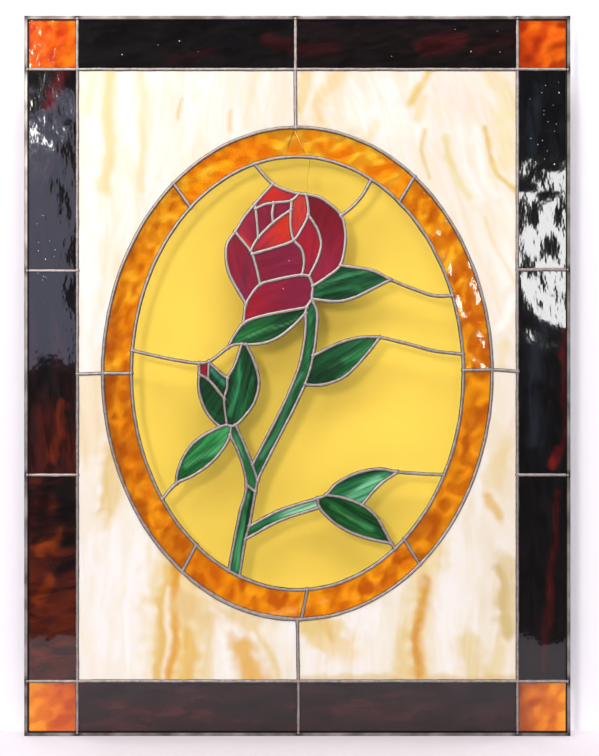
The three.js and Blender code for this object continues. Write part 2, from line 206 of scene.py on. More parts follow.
def spotAt(point):
    for i, spot in enumerate(spots):
        if (spot - point).length < seams["sameSpot"]:
            return i
    spots.append(point.copy())
    return len(spots) - 1


def spotsOn(a, b):
    # spots that lie on the way from a to b
    found = []
    for i, spot in enumerate(spots):
        if i in (a, b):
            continue
        foot, t = geometry.intersect_point_line(spot, spots[a], spots[b])
        if 0 < t < 1 and (spot - foot).length < seams["onEdge"]:
            found.append((t, i))
    return [i for t, i in sorted(found)]


def sidesOf(ring):
    # each spot of a ring with the one after it
    return [(a, ring[(k + 1) % len(ring)]) for k, a in enumerate(ring)]


paneNodes = sorted(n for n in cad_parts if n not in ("solder_matrix", "perimeter_came"))
rings = {node: [spotAt(p) for p in paneOutline(node)] for node in paneNodes}
dividerSpots = {node: [spotAt(pointAt(x, z)) for x, z in path] for node, path in dividers.items()}
for node, ring in rings.items():
    rings[node] = [i for a, b in sidesOf(ring) for i in [a] + spotsOn(a, b)]

panes = {}                        # pane: its CAD node and its ring of spots
for node, ring in rings.items():
    if node not in dividers:
        panes[node] = (node, ring)
        continue
    path = dividerSpots[node]
    first = ring.index(path[0])
    turned = ring[first:] + ring[:first]
    cut = turned.index(path[-1])
    panes[node + "_one"] = (node, turned[:cut] + path[:0:-1])
    panes[node + "_two"] = (node, turned[cut:] + path[:-1])

rimLow = Vector((min(s.x for s in spots), 0, min(s.z for s in spots)))
rimHigh = Vector((max(s.x for s in spots), 0, max(s.z for s in spots)))


def rimGaps(point):
    # how far a point is from each side of the panes
    return {"left": point.x - rimLow.x, "right": rimHigh.x - point.x,
            "sill": point.z - rimLow.z, "head": rimHigh.z - point.z}


def rimSides(point):
    return {side for side, gap in rimGaps(point).items() if gap < seams["onRim"]}


links = {}                        # spot: its neighbours
for node, ring in panes.values():
    for a, b in sidesOf(ring):
        links.setdefault(a, set()).add(b)
        links.setdefault(b, set()).add(a)


def onRim(a, b):
    return bool(rimSides(spots[a]) & rimSides(spots[b]))


partner = {}                      # (spot, neighbour): the neighbour that the seam runs on to
for a, around in links.items():
    turns = []
    around = sorted(around)
    for i, b in enumerate(around):
        for c in around[i + 1:]:
            if not (onRim(a, b) or onRim(a, c)):
                turns.append(((spots[a] - spots[b]).angle(spots[c] - spots[a]), b, c))
    limit = seams["smoothBend"] if len(around) == 2 else seams["smoothTurn"]
    for turn, b, c in sorted(turns):
        if turn < limit and (a, b) not in partner and (a, c) not in partner:
            partner[a, b], partner[a, c] = c, b


def wander(point):
    # a slight drift off the drawn line, none at the rim
    amount = seams["wander"] * clamp(min(rimGaps(point).values()) / seams["calmRim"])
    drift = noise.noise_vector(point * seams["wanderScale"])
    return point + Vector((drift.x, 0, drift.z)) * amount


def seamPath(a, b):
    # a smooth run of points from spot a up to, but not with, spot b
    if a > b:
        back = seamPath(b, a)
        return [wander(spots[a])] + back[:0:-1]
    start, end = spots[a], spots[b]
    count = max(1, round((end - start).length / seams["step"]))
    if onRim(a, b):
        return [start.lerp(end, k / count) for k in range(count)]
    before = spots[partner[a, b]] if (a, b) in partner else start * 2 - end
    after = spots[partner[b, a]] if (b, a) in partner else end * 2 - start
    # knots at the square roots of the lengths keep a curve through uneven spots from looping
    knots = [0.0]
    for p, q in ((before, start), (start, end), (end, after)):
        knots.append(knots[-1] + math.sqrt((q - p).length))
    path = []
    for k in range(count):
        t = knots[1] + (knots[2] - knots[1]) * k / count
        row = [before, start, end, after]
        for span, firstKnot in ((1, 0), (2, 0), (1, 1)):
            between = [(knots[firstKnot + j], knots[firstKnot + j + span]) for j in range(len(row) - 1)]
            row = [p.lerp(q, (t - low) / (high - low)) for p, q, (low, high) in zip(row, row[1:], between)]
        path.append(wander(row[0]))
    return path


report(f"{len(panes)} panes and {len(spots)} spots")

# glass finishes: widths, lengths and scales in millimetres, soft for the edges of the strokes, depth for how
# light the tints come out, clear for how much light goes through

glassKinds = {
    # streaky cathedral glass, hand rolled: saturated colour with darker and lighter threads along the pull
    "red": {"slot": "red_glass", "soft": 0.4, "rough": 0.2, "depth": 0.78,
            "threads": ("#e6dcdc", "#ffffff"), "threadWidth": 6, "threadLength": 30, "swirl": 0.6,
            "bump": 0.25, "ripple": 14, "relief": 0.08, "reliefScale": 30},
    "green": {"slot": "green_glass", "soft": 0.4, "rough": 0.2, "depth": 0.9,
              "threads": ("#a0b4a6", "#ffffff"), "threadWidth": 3, "threadLength": 50, "swirl": 0.4,
              "bump": 0.25, "ripple": 12, "relief": 0.08, "reliefScale": 30},
    # opalescent cream glass: milky, with wisps
    "cream": {"slot": "cream_glass", "soft": 0.65, "rough": 0.25, "depth": 0.77, "detail": 1,
              "threads": ("#ffffff", "#fbf6ea"), "threadWidth": 14, "threadLength": 60, "swirl": 1.0,
              "bump": 0.15, "ripple": 22, "relief": 0.10, "reliefScale": 40},
    # rippled amber glass: the wall shows through its strong waves, which throw back small white glints
    "amber": {"slot": "amber_glass", "soft": 0.4, "rough": 0.06, "clear": 0.7, "detail": 0,
              "threads": ("#e8ca98", "#ffffff"), "threadWidth": 9, "threadLength": 13, "swirl": 0.35,
              "bump": 0.45, "ripple": 9, "relief": 0.45, "reliefScale": 13},
    # dark streaky glass: nearly black, with a wavy shine drawn out up the sheet
    "dark": {"slot": "dark_glass", "soft": 0.6, "rough": 0.05, "depth": 0.9, "detail": 1, "stretch": 2,
             "threads": ("#aca4a4", "#ffffff"), "threadWidth": 10, "threadLength": 34, "swirl": 0.8,
             "bump": 0.32, "ripple": 9, "relief": 0.2, "reliefScale": 26},
}
glassFace = {"threadStops": (0.36, 0.64), "rippleDepth": 0.4 * mm}


def streakyGlass(kind, look):
    material, tree, shader = newMaterial(kind + "_streaky_glass", {
        "Roughness": look["rough"], "IOR": glassIor, "Transmission Weight": look.get("clear", 0.0)})
    tint = addNode(tree, "ShaderNodeAttribute", attribute_name="tint")
    grain = addNode(tree, "ShaderNodeAttribute", attribute_name="grain")
    # threads of the melt, drawn out along the pull of the sheet
    pull = addNode(tree, "ShaderNodeMapping",
                   {"Scale": (1 / (look["threadLength"] * mm), 1 / (look["threadWidth"] * mm), 1.0)},
                   {"Vector": grain.outputs["Vector"]})
    threads = addNode(tree, "ShaderNodeTexNoise",
                      {"Scale": 1.0, "Detail": look.get("detail", 2), "Roughness": 0.5,
                       "Distortion": look["swirl"]},
                      {"Vector": pull.outputs["Vector"]})
    shade = addNode(tree, "ShaderNodeValToRGB", None, {"Fac": threads.outputs["Fac"]})
    for stop, at, colour in zip(shade.color_ramp.elements, glassFace["threadStops"], look["threads"]):
        stop.position, stop.color = at, linear(colour)
    colour = addNode(tree, "ShaderNodeVectorMath", None,
                     {0: tint.outputs["Color"], 1: shade.outputs["Color"]}, operation="MULTIPLY")
    tree.links.new(colour.outputs["Vector"], shader.inputs["Base Color"])
    place = addNode(tree, "ShaderNodeTexCoord")
    drawn = addNode(tree, "ShaderNodeMapping", {"Scale": (1, 1, 1 / look.get("stretch", 1))},
                    {"Vector": place.outputs["Object"]})
    ripples = addNode(tree, "ShaderNodeTexNoise", {"Scale": 1 / (look["ripple"] * mm), "Detail": 2.0},
                      {"Vector": drawn.outputs["Vector"]})
    bump = addNode(tree, "ShaderNodeBump", {"Strength": look["bump"], "Distance": glassFace["rippleDepth"]},
                   {"Height": ripples.outputs["Fac"]})
    tree.links.new(bump.outputs["Normal"], shader.inputs["Normal"])
    return material


materials = {kind: streakyGlass(kind, look) for kind, look in glassKinds.items()}

# clear yellow cathedral glass: the wall shows through it, tinted on the way in and out
yellow = {"slot": "yellow_glass", "colour": "#ffdd58", "rough": 0.02, "ior": 1.5, "relief": 0.0}
glassKinds["yellow"] = yellow
materials["yellow"] = newMaterial("clear_yellow_glass", {
    "Base Color": linear(yellow["colour"]), "Roughness": yellow["rough"], "IOR": yellow["ior"],
    "Transmission Weight": 1.0})[0]

# how each pane is coloured: the lean of its streaks in degrees, its tints from one end to the other of the
# direction toward, the size of its patches and the drift of the tints in them, the height of its waves, and
# single strokes (colour, width, strength, then points, all in millimetres)

paneLooks = {
    "corner": {"glass": "amber", "lean": 40, "drift": 0.7, "patch": (18, 12), "relief": 0.08},
    "corner_head_left": {"tints": ["#e85c10", "#fa7810", "#e0500e", "#ff9018"], "relief": 0.05},
    "corner_head_right": {"tints": ["#b8400e", "#e05c10", "#f07c14", "#bc440e"], "relief": 0.14},
    "corner_sill_left": {"tints": ["#ffa414", "#fa9a10", "#ea7412", "#d86414"], "drift": 0.4},
    "corner_sill_right": {"tints": ["#c05c14", "#d87414", "#fa9c14", "#ffa820"], "drift": 0.5},
    "ring": {"glass": "amber", "lean": 60, "drift": 1.2, "patch": (22, 14),
             "tints": ["#e08408", "#f09808", "#fcac14", "#d87c08"]},
    "ring_top": {"tints": ["#ff9c0a", "#ffb410", "#ffd03c", "#ffa40a"], "lean": 0, "relief": 0.3},
    "ring_upper_left": {"tints": ["#d8800c", "#f09c08", "#ffc02c", "#e08c0c"], "relief": 0.14},
    "ring_lower_left": {"tints": ["#c8740c", "#dc8808", "#f0a014", "#d07c0c"], "relief": 0.12},
    "ring_upper_right": {"tints": ["#d8800c", "#f0a008", "#ffc028", "#d8800e"]},
    "ring_lower_right": {"tints": ["#cc780e", "#e0900c", "#f4a414", "#d07c0e"], "relief": 0.3},
    "border": {"glass": "dark", "toward": 90, "tints": ["#17110f", "#130f12"], "drift": 0.5},
    "border_head_left": {"tints": ["#151112", "#100f12"], "lean": 10, "strokes": [
        ("#3a1014", 14, 0.7, (0, 700), (-30, 715)), ("#2a0e12", 10, 0.6, (-130, 690), (-90, 700))]},
    "border_head_right": {"tints": ["#150f10", "#1a1012"], "lean": 10, "strokes": [
        ("#451014", 14, 0.7, (130, 708), (165, 712)), ("#3c1014", 12, 0.6, (0, 700), (36, 706)),
        ("#30100f", 12, 0.5, (180, 700), (215, 716))]},
    "border_left_upper": {"lean": 100, "strokes": [
        ("#5c1218", 12, 0.9, (-252, 645), (-243, 682)), ("#3a1014", 3, 0.8, (-262, 560), (-240, 610)),
        ("#0c0a0c", 14, 0.9, (-248, 560), (-243, 585))]},
    "border_left_middle": {"tints": ["#4a1a14", "#2a1414", "#141114", "#121014"], "lean": 95, "strokes": [
        ("#6a2412", 10, 0.8, (-250, 285), (-240, 340)), ("#100c0e", 10, 0.8, (-262, 360), (-258, 420))]},
    "border_left_lower": {"tints": ["#4a1a12", "#5a2010", "#3a1612", "#241214"], "lean": 8, "drift": 0.9,
                          "patch": (34, 18), "strokes": [
        ("#8a3a10", 12, 0.9, (-262, 190), (-240, 208)), ("#7c300f", 10, 0.8, (-265, 140), (-250, 160)),
        ("#120c0c", 16, 0.9, (-238, 200), (-234, 260)), ("#160d0c", 14, 0.8, (-262, 225), (-255, 262))]},
    # the blue-grey strokes on the right strips are painted reflections
    "border_right_upper": {"tints": ["#121013", "#101014"], "lean": 90, "relief": 0.36, "strokes": [
        ("#26303a", 10, 0.5, (240, 600), (246, 660))]},
    "border_right_middle": {"tints": ["#100e11", "#121013"], "lean": 95, "relief": 0.3, "strokes": [
        ("#4a1014", 7, 0.9, (273, 290), (274, 430)), ("#70161a", 8, 0.9, (262, 276), (268, 292)),
        ("#252c36", 14, 0.5, (240, 300), (250, 420))]},
    "border_right_lower": {"tints": ["#130e10", "#100d10"], "lean": 95, "strokes": [
        ("#46100f", 6, 0.8, (258, 110), (266, 250)), ("#3a0e10", 8, 0.7, (250, 70), (256, 130))]},
    "border_sill_left": {"tints": ["#2c1416", "#3c1a1c", "#2a1418", "#241416"], "lean": 5, "drift": 0.9,
                         "patch": (60, 12), "strokes": [("#50201e", 12, 0.6, (-190, 30), (-90, 24))]},
    "border_sill_right": {"tints": ["#2a1618", "#341618", "#201416"], "lean": 5, "drift": 0.8,
                          "patch": (60, 12), "strokes": [("#401818", 12, 0.6, (40, 30), (110, 22))]},
    "field": {"glass": "cream", "lean": 88, "drift": 0.35, "patch": (60, 18)},
    "field_upper_left": {"tints": ["#faf5ee", "#f6edd8", "#faf5ec", "#f9f3ea", "#faf4ee", "#f6eee4"],
                         "strokes": [
        ("#eed590", 12, 0.8, (-195, 560), (-192, 684)), ("#efdba0", 9, 0.5, (-213, 640), (-212, 684)),
        ("#fbf8f4", 24, 0.9, (-212, 372), (-214, 540)), ("#fbf6ee", 16, 0.7, (-176, 500), (-172, 684)),
        ("#f1dfaf", 8, 0.6, (-158, 560), (-160, 680)), ("#fbf5ee", 18, 0.6, (-140, 590), (-141, 684)),
        ("#dcc783", 3, 0.8, (-121, 632), (-117, 652)), ("#e6cc8b", 4, 0.6, (-68, 622), (-66, 640)),
        ("#fdf8f2", 20, 0.6, (-90, 610), (-86, 684)), ("#edd8a2", 7, 0.4, (-52, 625), (-40, 684)),
        ("#f6e9dc", 18, 0.5, (-20, 625), (-14, 684))]},
    "field_upper_right": {"lean": 110, "tints": ["#f2e6d0", "#f8f1e8", "#f7eee4", "#f3eadc"], "strokes": [
        ("#ecd394", 14, 0.8, (4, 640), (8, 684)), ("#fbf1e2", 3, 0.9, (8, 628), (26, 682)),
        ("#eed390", 14, 0.6, (24, 652), (48, 684)), ("#ecd08c", 8, 0.6, (22, 628), (18, 646)),
        ("#fdf9f4", 34, 0.9, (62, 640), (112, 622)), ("#fcf7f0", 16, 0.8, (84, 664), (112, 660)),
        ("#e9cb73", 9, 0.9, (118, 650), (134, 684)), ("#efd897", 7, 0.6, (122, 634), (130, 652)),
        ("#f6e6da", 22, 0.7, (142, 664), (172, 648)), ("#efddaa", 18, 0.7, (196, 684), (224, 640)),
        ("#e9db9d", 8, 0.8, (152, 610), (154, 590), (174, 552)),
        ("#fdf9f6", 6, 0.9, (166, 622), (172, 585), (190, 550)),
        ("#e6cf90", 3, 0.9, (128, 622), (128, 600), (134, 572)), ("#efdfb0", 12, 0.6, (62, 596), (80, 626)),
        ("#fdf9f6", 8, 0.9, (181, 622), (186, 590), (206, 552)),
        ("#e4c465", 5, 0.95, (192, 624), (196, 600), (207, 577), (224, 558)),
        ("#f1e3b6", 20, 0.8, (210, 636), (216, 590)), ("#fbf4ec", 22, 0.8, (212, 470), (216, 540)),
        ("#eed8a4", 4, 0.6, (190, 530), (224, 462)), ("#f0dcaa", 8, 0.6, (206, 378), (212, 402)),
        ("#ffffff", 10, 0.8, (208, 420), (222, 448))]},
    "field_lower_left": {"tints": ["#faf6f1", "#faf5ec", "#f7ecd8", "#f6ecda", "#f9f4ec"], "strokes": [
        ("#f4e0bb", 42, 0.8, (-214, 300), (-214, 368)), ("#eccc82", 20, 0.7, (-198, 214), (-186, 296)),
        ("#e8ce8b", 6, 0.7, (-203, 230), (-194, 282)), ("#e8ce8b", 5, 0.6, (-190, 226), (-184, 264)),
        ("#fcfaf7", 60, 0.95, (-176, 66), (-178, 196)), ("#fbf8f4", 25, 0.7, (-208, 66), (-208, 190)),
        ("#f4d890", 55, 0.8, (-122, 57), (-122, 168)),
        ("#ebc36b", 12, 0.9, (-131, 172), (-137, 136), (-141, 57)),
        ("#fbf3e2", 6, 0.8, (-131, 150), (-133, 110), (-134, 57)),
        ("#e6a534", 8, 0.95, (-126, 172), (-124, 132), (-126, 96), (-130, 57)),
        # the beige stroke from (-118, 134) to (-96, 122) is a painted shadow beside the ring's seam
        ("#ebc065", 17, 0.85, (-111, 57), (-112, 104)), ("#eacc90", 23, 0.7, (-118, 134), (-96, 122)),
        ("#fdfaf6", 25, 0.95, (-73, 57), (-73, 104)), ("#fdfaf6", 12, 0.9, (-68, 108), (-46, 88), (-36, 57)),
        ("#e9b758", 23, 0.95, (-57, 94), (-52, 76), (-44, 57)), ("#ead090", 14, 0.7, (-70, 122), (-40, 118)),
        ("#efd595", 8, 0.8, (-42, 112), (-26, 88), (-20, 57)), ("#fbf5ea", 14, 0.8, (-30, 112), (-12, 84)),
        ("#ecd59e", 8, 0.6, (-92, 57), (-90, 112)), ("#fdfaf6", 17, 0.9, (-14, 104), (-8, 114))]},
    "field_lower_right": {"tints": ["#fbf7f0", "#fbf7f1", "#f8f1e4", "#f9f4ed", "#f4ebd9"], "strokes": [
        ("#ecd183", 31, 0.9, (12, 112), (30, 104)), ("#f6dfb4", 28, 0.85, (34, 96), (54, 88)),
        ("#ecc779", 9, 0.7, (24, 116), (32, 102)), ("#f0dba7", 12, 0.6, (72, 142), (78, 130)),
        ("#f1dba0", 33, 0.85, (136, 184), (126, 120), (122, 57)),
        ("#e2a741", 12, 0.95, (134, 158), (125, 124), (123, 57)),
        ("#d99736", 6, 0.7, (124, 116), (122, 78)), ("#eed597", 14, 0.8, (104, 57), (110, 104)),
        ("#fdfaf6", 31, 0.9, (76, 57), (82, 120)), ("#fcf8f2", 31, 0.9, (156, 57), (152, 150)),
        ("#ebd599", 20, 0.8, (174, 98), (182, 60)), ("#efdca7", 17, 0.7, (198, 62), (206, 90)),
        ("#cdb170", 9, 0.8, (206, 172), (210, 140), (218, 104)),
        ("#dfc78c", 20, 0.7, (214, 180), (216, 110)),
        ("#e7be70", 10, 0.85, (196, 246), (205, 224)), ("#efd8a2", 20, 0.7, (200, 262), (214, 300)),
        ("#f5eadb", 36, 0.8, (212, 320), (212, 370)), ("#e6cb8c", 8, 0.7, (2, 58), (224, 58))]},
    "ground": {"glass": "yellow"},
    "petal": {"glass": "red", "drift": 0.2, "patch": (30, 10)},
    "petal_crown": {"lean": 20, "tints": ["#ac2a3c", "#d02a22", "#cc2a28", "#a82840"]},
    "petal_left_inner": {"lean": 110, "tints": ["#b82c34", "#a42440", "#9c2444"], "strokes": [
        ("#e03a1c", 6, 0.9, (-58, 512), (-46, 500))]},
    "petal_heart": {"lean": 100, "tints": ["#8a1c3a", "#90203e"]},
    "petal_fold": {"lean": 40, "toward": 30, "tints": ["#9c2840", "#b82c38", "#d8341e", "#e03a1c"]},
    "petal_upper_right": {"lean": 85, "toward": 90, "tints": ["#ac2c40", "#cc3a34", "#d04438"]},
    "petal_right_inner": {"lean": 80, "toward": 90, "tints": ["#9a203a", "#a81a30", "#a01c34"]},
    "petal_right_outer": {"lean": 70, "toward": 90, "tints": ["#a02646", "#961e3a", "#821226", "#781022"]},
    "petal_left_outer": {"lean": 105, "toward": 90, "tints": ["#982044", "#921c38", "#941a30"], "strokes": [
        ("#6e2440", 7, 0.6, (-54, 452), (-50, 492))]},
    "petal_centre": {"lean": 10, "tints": ["#921a32", "#861c3a", "#881e40", "#92203e"]},
    "petal_base": {"lean": 20, "toward": 10, "tints": ["#ac182a", "#9e1c36", "#8a1e3e", "#8e2242"]},
    "leaf": {"glass": "green", "drift": 0.3, "patch": (40, 6)},
    "leaf_upper_right": {"lean": 16, "tints": ["#1c5c36", "#14482a", "#1c5c34", "#22683e"], "strokes": [
        ("#4a9a68", 3, 0.8, (22, 462), (72, 477)), ("#2f7c4c", 4, 0.7, (20, 452), (62, 460)),
        ("#0f3820", 6, 0.7, (30, 450), (58, 454)), ("#103c22", 4, 0.6, (60, 470), (88, 470))]},
    "leaf_under_rose": {"lean": 26, "tints": ["#2a7a3e", "#1f6634", "#164a28", "#123c20"], "strokes": [
        ("#5a9c66", 1.6, 0.7, (-52, 405), (-2, 430)), ("#3a8a4c", 4, 0.6, (-62, 404), (-26, 420))]},
    "leaf_middle_right": {"lean": 32, "tints": ["#123a22", "#164c2a", "#277040", "#2f8048"], "strokes": [
        ("#46985a", 4, 0.7, (34, 378), (76, 402)), ("#0f3420", 8, 0.8, (22, 368), (44, 382)),
        ("#3f8a52", 3, 0.6, (40, 366), (66, 384))]},
    "leaf_low_left": {"lean": 42, "toward": 45, "tints": ["#145a2c", "#1c7038", "#389450", "#4aa866"],
                      "strokes": [
        ("#58b070", 6, 0.8, (-112, 274), (-72, 306)), ("#12532a", 5, 0.8, (-116, 268), (-80, 290)),
        ("#2f8a4a", 4, 0.7, (-104, 296), (-86, 306))]},
    "leaf_twig_upper": {"lean": 22, "toward": 110, "tints": ["#66b488", "#56a678", "#2c7a4a", "#12522a"],
                        "strokes": [
        ("#84cca0", 4, 0.8, (52, 246), (84, 262)), ("#104a26", 6, 0.8, (44, 262), (98, 272)),
        ("#2f8250", 3, 0.7, (40, 252), (74, 262))]},
    "leaf_twig_lower": {"lean": -28, "tints": ["#144c24", "#185624", "#1c5c28", "#124420"], "strokes": [
        ("#48945a", 4, 0.8, (34, 236), (78, 214)), ("#2f7840", 3, 0.7, (40, 222), (84, 204)),
        ("#0f3c1c", 5, 0.8, (50, 238), (88, 214))]},
    "stem": {"glass": "green", "lean": 60, "drift": 0.3, "patch": (40, 4)},
    "stem_upper": {"tints": ["#245e34", "#1c5a30", "#226438"], "strokes": [
        ("#4a9064", 4, 0.8, (-34, 286), (-8, 340), (4, 372)), ("#3a8450", 3, 0.7, (10, 380), (12, 428))]},
    "stem_lower": {"lean": 80, "tints": ["#2f7c48", "#1c5a30", "#103c1e"], "strokes": [
        ("#48a066", 4, 0.8, (-64, 170), (-54, 232), (-50, 248)),
        ("#0f3a1c", 5, 0.8, (-58, 168), (-46, 240))]},
    "stem_branch": {"lean": 115, "tints": ["#256c3e", "#2f7c4a"], "strokes": [
        ("#54a472", 4, 0.8, (-62, 308), (-50, 268))]},
    "stem_twig": {"lean": 22, "toward": 20, "tints": ["#2f8c54", "#1f6e40", "#3f9464", "#98d2a8", "#a8dab4"],
                  "patch": (30, 4)},
    "bud": {"glass": "green", "drift": 0.3, "patch": (50, 4)},
    "bud_leaf": {"lean": 76, "tints": ["#103c20", "#174f2c", "#103c20"], "strokes": [
        ("#37905a", 3, 0.85, (-68, 328), (-56, 384)), ("#2c8048", 2.5, 0.8, (-60, 324), (-46, 368)),
        ("#2a7844", 2, 0.7, (-70, 340), (-62, 380))]},
    "bud_sepals": {"lean": 60, "tints": ["#0f3c1e", "#124422"], "strokes": [
        ("#3c8a6c", 3.5, 0.9, (-88, 376), (-74, 358)), ("#1f6038", 4, 0.6, (-94, 340), (-80, 326))]},
    "bud_tip": {"glass": "red", "lean": 90, "tints": ["#b01830", "#a01828"], "drift": 0.3},
}

paneShape = {
    "gap": 0.35 * mm,             # from the middle of a seam to the edge of the glass
    "lip": 0.5 * mm,
    "grid": 2.2 * mm,
    "flatGrid": 12 * mm,
    "nearCut": 0.05 * mm,
    "thickness": 3.0 * mm,
    "patch": (40, 12),            # length and width of the patches where a look gives none
    "seed": 0.37,                 # what sets the waves and patches of panes and of their backs apart
    "backSeed": 7.3,
    "grainSeed": 0.01,
}
stroke = {
    "soft": 0.8,
    "feather": 1.6 * mm,
    "ragged": 0.6,                # how much a stroke's width varies
    "raggedScale": 11 * mm,
    "reach": 3,                   # past this many half widths and the spare, a stroke leaves no colour
    "spare": 4 * mm,
    "swirl": 5,                   # how far in millimetres the melt has carried it off its line
    "swirlScale": 36 * mm,
}


def lookOf(name):
    # looks add up from the plainest name to the full one
    parts = name.split("_")
    look = {}
    for count in range(1, len(parts) + 1):
        look.update(paneLooks.get("_".join(parts[:count]), {}))
    return look


def closestOn(point, a, b):
    foot, t = geometry.intersect_point_line(point, a, b)
    return a.lerp(b, clamp(t))


def strokeAmount(point, width, strength, line, soft=stroke["soft"]):
    # how much of a stroke covers a point, with soft, uneven edges
    nearest = min((point - closestOn(point, p, q)).length for p, q in zip(line, line[1:]))
    half = width * mm / 2
    if nearest > half * stroke["reach"] + stroke["spare"]:
        return 0
    half *= 1 + stroke["ragged"] * noise.noise(point / stroke["raggedScale"])
    edge = clamp((half - nearest) / (soft * 2 * half + stroke["feather"]) + 0.5)
    return strength * edge * edge * (3 - 2 * edge)


def paneMesh(outline, grid):
    # a flat pane with a lip, and a net over its faces that carries the relief and the tint
    bm = bmesh.new()
    face = bm.faces.new([bm.verts.new(p) for p in outline])
    bm.normal_update()
    bmesh.ops.inset_individual(bm, faces=[face], thickness=paneShape["gap"], use_even_offset=False)
    bmesh.ops.delete(bm, geom=[f for f in bm.faces if f != face], context="FACES")
    bmesh.ops.inset_individual(bm, faces=[face], thickness=paneShape["lip"], use_even_offset=False)
    low, high = Vector(map(min, zip(*outline))), Vector(map(max, zip(*outline)))
    for axis in (0, 2):
        cut = low[axis] + grid
        while cut < high[axis] - grid / 2:
            cutAcross(bm, axis, cut, paneShape["nearCut"])
            cut += grid
    for vert in bm.verts:
        vert.co.y = -paneShape["thickness"] / 2
    made = bmesh.ops.extrude_face_region(bm, geom=bm.faces[:])["geom"]
    for vert in made:
        if isinstance(vert, bmesh.types.BMVert):
            vert.co.y = paneShape["thickness"] / 2
    bmesh.ops.recalc_face_normals(bm, faces=bm.faces[:])
    return bm


def paintPane(bm, name, outline, look, kind):
    # waves on both faces, and at each point its colour and its place along and across the streaks
    tint = bm.verts.layers.float_color.new("tint")
    grain = bm.verts.layers.float_vector.new("grain")
    lean, toward = math.radians(look.get("lean", 0)), math.radians(look.get("toward", 0))
    along, across = Vector((math.cos(lean), 0, math.sin(lean))), Vector((-math.sin(lean), 0, math.cos(lean)))
    toward = Vector((math.cos(toward), 0, math.sin(toward)))
    spread = [p.dot(toward) for p in outline]
    start, end = min(spread), max(spread)
    seed = Vector((0, 0, sum(map(ord, name)) * paneShape["seed"]))
    long, wide = look.get("patch", paneShape["patch"])
    tints = [linear(t) for t in look.get("tints", ["#ffffff"])]
    strokes = [(linear(colour), width, strength, [pointAt(x, z) for x, z in line])
               for colour, width, strength, *line in look.get("strokes", [])]
    for vert in bm.verts:
        point = vert.co * onPlane
        if kind["relief"]:
            side = 1 if vert.co.y > 0 else -1
            wave = noise.noise(point / (kind["reliefScale"] * mm) + seed
                               + Vector((0, side * paneShape["backSeed"], 0)))
            vert.co.y += side * look.get("relief", kind["relief"]) * mm * wave
        u, v = point.dot(along), point.dot(across)
        vert[grain] = (u, v, seed.z * paneShape["grainSeed"])
        s = (point.dot(toward) - start) / (end - start)
        s += look.get("drift", 0) * noise.noise(Vector((u / (long * mm), v / (wide * mm), seed.z)))
        s = clamp(s) * (len(tints) - 1)
        step = min(int(s), len(tints) - 2)
        colour = mix(tints[step], tints[step + 1], s - step) if len(tints) > 1 else tints[0]
        # the melt swirls, so no stroke is straight or even
        drawn = point + noise.noise_vector(point / stroke["swirlScale"]) * stroke["swirl"] * mm
        drawn.y = 0
        for strokeColour, width, strength, line in strokes:
            amount = strokeAmount(drawn, width, strength, line, kind["soft"])
            colour = mix(colour, strokeColour, amount) if amount > 0 else colour
        vert[tint] = mix((0, 0, 0, 1), colour, kind.get("depth", 1.0))


def makePane(name, node, ring):
    look = lookOf(name)
    kind = glassKinds[look["glass"]]
    outline = [p for a, b in sidesOf(ring) for p in seamPath(a, b)]
    bm = paneMesh(outline, paneShape["grid"] if kind["relief"] else paneShape["flatGrid"])
    paintPane(bm, name, outline, look, kind)
    shadeSmooth(bm)
    piece = newPiece("glass_" + name, bm, materials[look["glass"]], kind["slot"], node)
    if look["glass"] in ("yellow", "amber"):
        # light passes clear glass on its way to the wall, so only its seams cast a shadow there
        piece.visible_shadow = False
        piece.visible_diffuse = False
    return piece


faceCount = sum(len(makePane(name, *pane).data.polygons) for name, pane in panes.items())
report(f"{len(panes)} panes with {faceCount} faces")

# cracks that run right through two panes, in millimetres

cracks = {
    "ring_top_left": {"glass": "amber", "proud": 0.5 * mm, "line": [
        (-3, 619.5, "#6a2408"), (-6, 612, "#6a2408"), (-9.5, 604, "#8a4a14"), (-13.5, 594.5, "#ffcf98")]},
    "ring_top_right": {"glass": "amber", "proud": 0.5 * mm, "line": [
        (-2.6, 619.5, "#ffbf80"), (2, 609, "#f8b070"), (6, 600, "#7a3208"), (9, 594, "#6a2408")]},
    "ground_top": {"glass": "yellow", "proud": 0.02 * mm, "line": [
        (12.6, 590.5, "#6e5418"), (12.8, 585, "#6e5418"), (11.5, 578, "#9a7c28"), (10.5, 572, "#b0902e"),
        (10.5, 562, "#9a7c28"), (11, 556, "#8a6c20")]},
}
crackShape = {"width": 0.45 * mm, "rough": 0.35}

# broken edges inside the glass: dull, darker or paler than the pane, as they catch the light or not
crackMaterial, tree, shader = newMaterial("broken_glass_edge", {"Roughness": crackShape["rough"],
                                                                "IOR": glassIor})
tint = addNode(tree, "ShaderNodeAttribute", attribute_name="tint")
tree.links.new(tint.outputs["Color"], shader.inputs["Base Color"])

for name, crack in cracks.items():
    bm = bmesh.new()
    tint = bm.verts.layers.float_color.new("tint")
    reach = paneShape["thickness"] / 2 + crack["proud"]
    x, z, colour = crack["line"][0]
    ends = [bm.verts.new((x * mm, y, z * mm)) for y in (-reach, reach)]
    strip = [bm.edges.new(ends)]
    for vert in ends:
        vert[tint] = linear(colour)
    for x, z, colour in crack["line"][1:]:
        made = bmesh.ops.extrude_edge_only(bm, edges=strip)["geom"]
        strip = [e for e in made if isinstance(e, bmesh.types.BMEdge)]
        for vert in strip[0].verts:
            vert.co.x, vert.co.z = x * mm, z * mm
            vert[tint] = linear(colour)
    bmesh.ops.solidify(bm, geom=bm.faces[:], thickness=crackShape["width"])
    bmesh.ops.recalc_face_normals(bm, faces=bm.faces[:])
    newPiece("crack_" + name, bm, crackMaterial, glassKinds[crack["glass"]]["slot"])
report("cracks")
